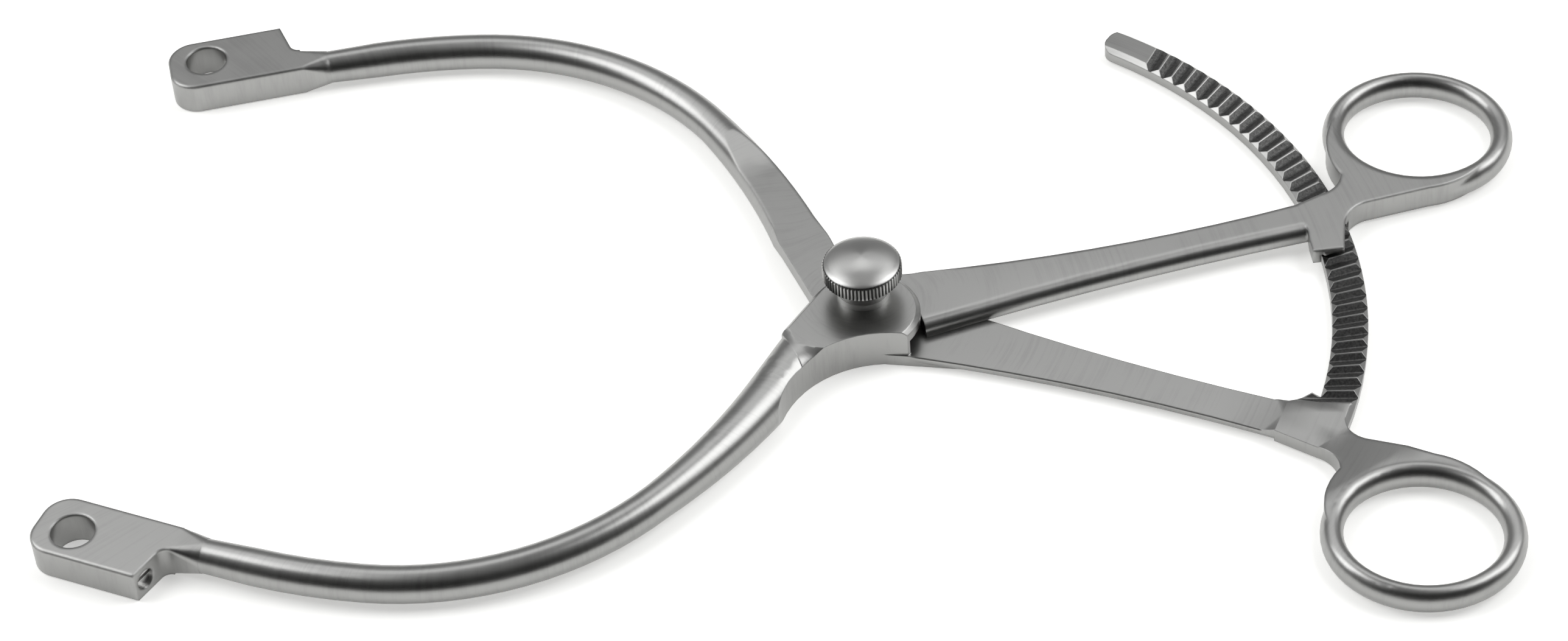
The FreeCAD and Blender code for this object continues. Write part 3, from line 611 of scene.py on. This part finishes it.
def round_normals(mesh):
    """The way outwards from a round arm's centre line, for each vertex that lies on an arm."""
    found = {}
    for vertex in mesh.vertices:
        place = vertex.co / MM
        nearest = arm_axis(place)
        if nearest is None:
            continue
        axis, radius = nearest
        axis.y = math.copysign(axis.y, place.y)
        outward = place - axis
        if abs(outward.length - radius) < ROUND_MARGIN:
            found[vertex.index] = outward.normalized()
    return found


def round_off_shading(piece):
    """Gives the round arms the shading of a true round bar in place of their facets'."""
    weighed = as_shown(piece)
    normals = [corner.vector.copy() for corner in weighed.corner_normals]
    mesh = piece.data
    true_normals = round_normals(mesh)
    for face in mesh.polygons:
        if not all(index in true_normals for index in face.vertices):
            continue
        for corner in face.loop_indices:
            smooth = true_normals[mesh.loops[corner].vertex_index]
            if smooth.dot(face.normal) > ROUND_COSINE:
                normals[corner] = smooth
    mesh.normals_split_custom_set(normals)
    bpy.data.meshes.remove(weighed)


def paint_shade_in_grooves(mesh):
    """Gives the faces inside the ratchet's grooves the material with painted shade."""
    for face in mesh.polygons:
        x, y, z = (value / MM for value in face.center)
        radius = math.hypot(x, y)
        angle = math.degrees(math.atan2(y, x))
        on_bar = (abs(radius - BAR_R) < BAR_W / 2 + BAR_MARGIN
                  and CREST_ANGLE_LOW < angle < CREST_ANGLE_HIGH + LAST_GROOVE_DEGREES)
        in_groove = BAR_TOP - TOOTH_DEPTH - GROOVE_MARGIN < z < BAR_TOP - GROOVE_MARGIN
        if on_bar and in_groove and face.normal.z > GROOVE_UPWARD:
            radial = (face.normal.x * x + face.normal.y * y) / radius
            if abs(radial) < BAR_SIDE_RADIAL:
                # This groove face takes the material with painted shade
                face.material_index = 1


def middle(node):
    """The middle of a CAD node's box."""
    low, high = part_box(node)
    return (Vector(low) + Vector(high)) / 2


def let_ball_press(spring, side):
    """Gives a spring a mesh of its own. How much of its length to keep, as its ball slides back, is
    worked out but not used.
    """
    way = (middle("set_screw_" + side) - middle("detent_ball_" + side)).normalized()
    runs = [vertex.co.dot(way) for vertex in spring.data.vertices]
    keep = 1.0 - BALL_TRAVEL * MM / (max(runs) - min(runs))
    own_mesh(spring)


def seat(piece, node):
    """Puts a piece on the body of the CAD node that it stands for."""
    body = frame["nodes"][node]["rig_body"]
    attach(piece, body)
    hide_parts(node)


class FinishSettings(bpy.types.PropertyGroup):
    steel_grey: bpy.props.FloatProperty(
        name="Steel grey", description="Reflectance of the bare steel",
        default=0.35, min=0.0, max=1.0, subtype="FACTOR")
    roughness: bpy.props.FloatProperty(
        name="Roughness", description="Roughness of the satin finish",
        default=0.31, min=0.0, max=1.0, subtype="FACTOR")
    streaks_per_mm: bpy.props.FloatProperty(
        name="Streaks per mm", description="How fine the grinding is", default=1.8, min=0.1)
    streak_depth_mm: bpy.props.FloatProperty(
        name="Streak depth", description="Depth of the grinding, mm", default=0.01, min=0.0)
    turning_depth_mm: bpy.props.FloatProperty(
        name="Turning depth", description="Depth of turning marks, mm", default=0.003, min=0.0)
    edge_mm: bpy.props.FloatProperty(
        name="Edge rounding", description="Rounding that edges show, mm", default=0.3, min=0.0)
    wide_edge_mm: bpy.props.FloatProperty(
        name="Wide edge rounding",
        description="Rounding that the blocks, the rings' webs and the flat arm's plate show, mm",
        default=0.9, min=0.0)


class StageSettings(bpy.types.PropertyGroup):
    lens: bpy.props.FloatProperty(
        name="Lens", description="Focal length, mm", default=100.23, unit="CAMERA")
    tilt: bpy.props.FloatProperty(
        name="Tilt", description="Camera's angle below level",
        default=math.radians(44.07), subtype="ANGLE")
    roll: bpy.props.FloatProperty(
        name="Roll", description="Camera's roll", default=math.radians(-4.65), subtype="ANGLE")
    turn: bpy.props.FloatProperty(
        name="Turn", description="Turn of the instrument before the camera",
        default=math.radians(-8.53), subtype="ANGLE")
    aim: bpy.props.FloatVectorProperty(
        name="Aim", description="Joint's place in the camera's axes, mm",
        default=(15.0, -0.7, 803.8), size=3, subtype="XYZ")
    floor_grey: bpy.props.FloatProperty(
        name="Floor", description="Grey of the floor", default=0.9, min=0.0, max=1.0,
        subtype="FACTOR")
    floor_glow: bpy.props.FloatProperty(
        name="Floor glow", description="Glow that whitens the floor", default=0.45, min=0.0)


class RETRACTOR_OT_arms(bpy.types.Operator):
    """Finish the two forged arms"""
    bl_idname = "retractor.arms"
    bl_label = "Arms"

    def execute(self, context):
        settings = context.scene.retractor_finish
        for node, tool in (("slotted_arm", cheek_tool()), ("flat_arm", tongue_tool())):
            piece = copy_of_node(node, node + "_steel", tool)
            finishes = piece.data.materials
            finishes.clear()
            finishes.append(satin_steel(settings, node + "_satin", node == "flat_arm"))
            if node == "slotted_arm":
                # The ratchet's grooves get a second material with painted shade
                finishes.append(shaded_groove_steel())
                paint_shade_in_grooves(piece.data)
            round_off_shading(piece)
            seat(piece, node)
        return {"FINISHED"}


class RETRACTOR_OT_knob(bpy.types.Operator):
    """Finish the thumb screw and its collar"""
    bl_idname = "retractor.knob"
    bl_label = "Thumb Screw"

    def execute(self, context):
        knob = copy_of_node("thumb_screw", "thumb_screw_turned")
        knob.data.materials.append(turned_steel(context.scene.retractor_finish))
        seat(knob, "thumb_screw")
        ring = copy_of_node("collar", "collar_matt")
        ring.data.materials.append(plain_steel("matt_steel", level=0.6, roughness=0.5))
        seat(ring, "collar")
        return {"FINISHED"}


class RETRACTOR_OT_detents(bpy.types.Operator):
    """Finish the set screws, balls and springs of the blade holders"""
    bl_idname = "retractor.detents"
    bl_label = "Blade Holders"

    def execute(self, context):
        for kind, slot, level, roughness in (
            ("set_screw", "screw_steel", 0.7, 0.4),
            ("detent_ball", "ball_steel", 0.7, 0.12),
            ("detent_spring", "spring_steel", 0.45, 0.3),
        ):
            material = plain_steel(slot, level, roughness)
            for side in ("flat", "slotted"):
                node = f"{kind}_{side}"
                piece = copy_of_node(node, node + "_steel")
                piece.data.materials.append(material)
                seat(piece, node)
                if kind == "detent_spring":
                    let_ball_press(piece, side)
        return {"FINISHED"}


def softbox(name, place, size, power):
    """A rectangular lamp that faces the joint."""
    lamp = bpy.data.lights.new(name, "AREA")
    lamp.shape = "RECTANGLE"
    lamp.size, lamp.size_y = size
    lamp.energy = power
    holder = bpy.data.objects.new(name, lamp)
    holder.location = place
    holder.rotation_euler = (-place).to_track_quat("-Z", "Y").to_euler()
    bpy.context.scene.collection.objects.link(holder)


class RETRACTOR_OT_stage(bpy.types.Operator):
    """Set the camera, the soft lights and the pale floor"""
    bl_idname = "retractor.stage"
    bl_label = "Studio"

    def execute(self, context):
        settings = context.scene.retractor_stage
        turn = Matrix.Rotation(-settings.turn, 4, "Z")
        self.place_camera(context.scene, settings, turn)
        self.lay_floor(settings)
        for name, place, size, power in LAMPS:
            softbox(name, turn @ Vector(place), size, power)
        self.light_world(context.scene, turn)
        context.scene.view_settings.view_transform = "Standard"
        return {"FINISHED"}

    def place_camera(self, scene, settings, turn):
        forward = Vector((0, math.cos(settings.tilt), -math.sin(settings.tilt)))
        up = Vector((0, math.sin(settings.tilt), math.cos(settings.tilt)))
        right = Vector((1, 0, 0))
        cosine = math.cos(settings.roll)
        sine = math.sin(settings.roll)
        axis_x = cosine * right + sine * up
        axis_y = cosine * up - sine * right
        aim = settings.aim
        pose = Matrix((axis_x, axis_y, -forward)).transposed().to_4x4()
        pose.translation = -(axis_x * aim[0] + axis_y * aim[1] + forward * aim[2]) * MM
        data = bpy.data.cameras.new("camera")
        data.sensor_width = 36.0
        data.lens = settings.lens
        data.clip_start = 0.01
        data.clip_end = 10.0
        camera = bpy.data.objects.new("camera", data)
        camera.matrix_world = turn @ pose
        scene.collection.objects.link(camera)
        scene.camera = camera

    def lay_floor(self, settings):
        bm = bmesh.new()
        bmesh.ops.create_grid(bm, x_segments=1, y_segments=1, size=FLOOR_HALF)
        bmesh.ops.translate(bm, verts=bm.verts, vec=(0, 0, -FLOOR_DROP))
        floor = in_scene(bm, "floor")
        material, sheet = new_material("floor_paper")
        paper = sheet.node("ShaderNodeBsdfDiffuse", Color=grey(settings.floor_grey))
        path = sheet.node("ShaderNodeLightPath")
        seen = sheet.larger(sheet.wire(path, "Is Camera Ray"), sheet.wire(path, "Is Glossy Ray"))
        glow = sheet.node("ShaderNodeEmission", Color=grey(1.0), Strength=seen * settings.floor_glow)
        both = sheet.node("ShaderNodeAddShader", i0=sheet.wire(paper), i1=sheet.wire(glow))
        sheet.node("ShaderNodeOutputMaterial", Surface=sheet.wire(both))
        floor.data.materials.append(material)

    def light_world(self, scene, turn):
        world = bpy.data.worlds.new("studio")
        world.use_nodes = True
        scene.world = world
        sheet = Sheet(world.node_tree)
        way = sheet.wire(sheet.node("ShaderNodeTexCoord"), "Generated")
        dot = sheet.node("ShaderNodeVectorMath", {"operation": "DOT_PRODUCT"},
                         i0=way, i1=turn @ Vector((0, 1, 0)))
        facing = sheet.wire(dot, "Value")
        sides = sheet.smooth_step(facing, *TO_SIDES) * SIDES_RISE
        back = sheet.smooth_step(facing, *TO_BACK) * BACK_RISE
        light = sheet.node("ShaderNodeBackground", Strength=1.0,
                           Color=sheet.shade(sides + back + ROOM_LEVEL, WHITE))
        sheet.node("ShaderNodeOutputWorld", Surface=sheet.wire(light))


class RETRACTOR_PT_panel(bpy.types.Panel):
    """Lists the finishing steps and their settings"""
    bl_idname = "RETRACTOR_PT_panel"
    bl_label = "Retractor"
    bl_space_type = "VIEW_3D"
    bl_region_type = "UI"
    bl_category = "Retractor"

    def draw(self, context):
        for operator in OPERATORS:
            self.layout.operator(operator.bl_idname)
        for group in (context.scene.retractor_finish, context.scene.retractor_stage):
            box = self.layout.box()
            for key in group.__annotations__:
                box.prop(group, key)


OPERATORS = (RETRACTOR_OT_stage, RETRACTOR_OT_arms, RETRACTOR_OT_knob, RETRACTOR_OT_detents)
CLASSES = (FinishSettings, StageSettings, *OPERATORS, RETRACTOR_PT_panel)


def register():
    for cls in CLASSES:
        bpy.utils.register_class(cls)
    bpy.types.Scene.retractor_finish = bpy.props.PointerProperty(type=FinishSettings)
    bpy.types.Scene.retractor_stage = bpy.props.PointerProperty(type=StageSettings)


def unregister():
    del bpy.types.Scene.retractor_stage
    del bpy.types.Scene.retractor_finish
    for cls in reversed(CLASSES):
        bpy.utils.unregister_class(cls)


def main():
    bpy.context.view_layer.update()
    register()
    bpy.ops.retractor.stage()
    bpy.ops.retractor.arms()
    bpy.ops.retractor.knob()
    bpy.ops.retractor.detents()
    bpy.context.view_layer.update()


if __name__ == "__main__":
    main()
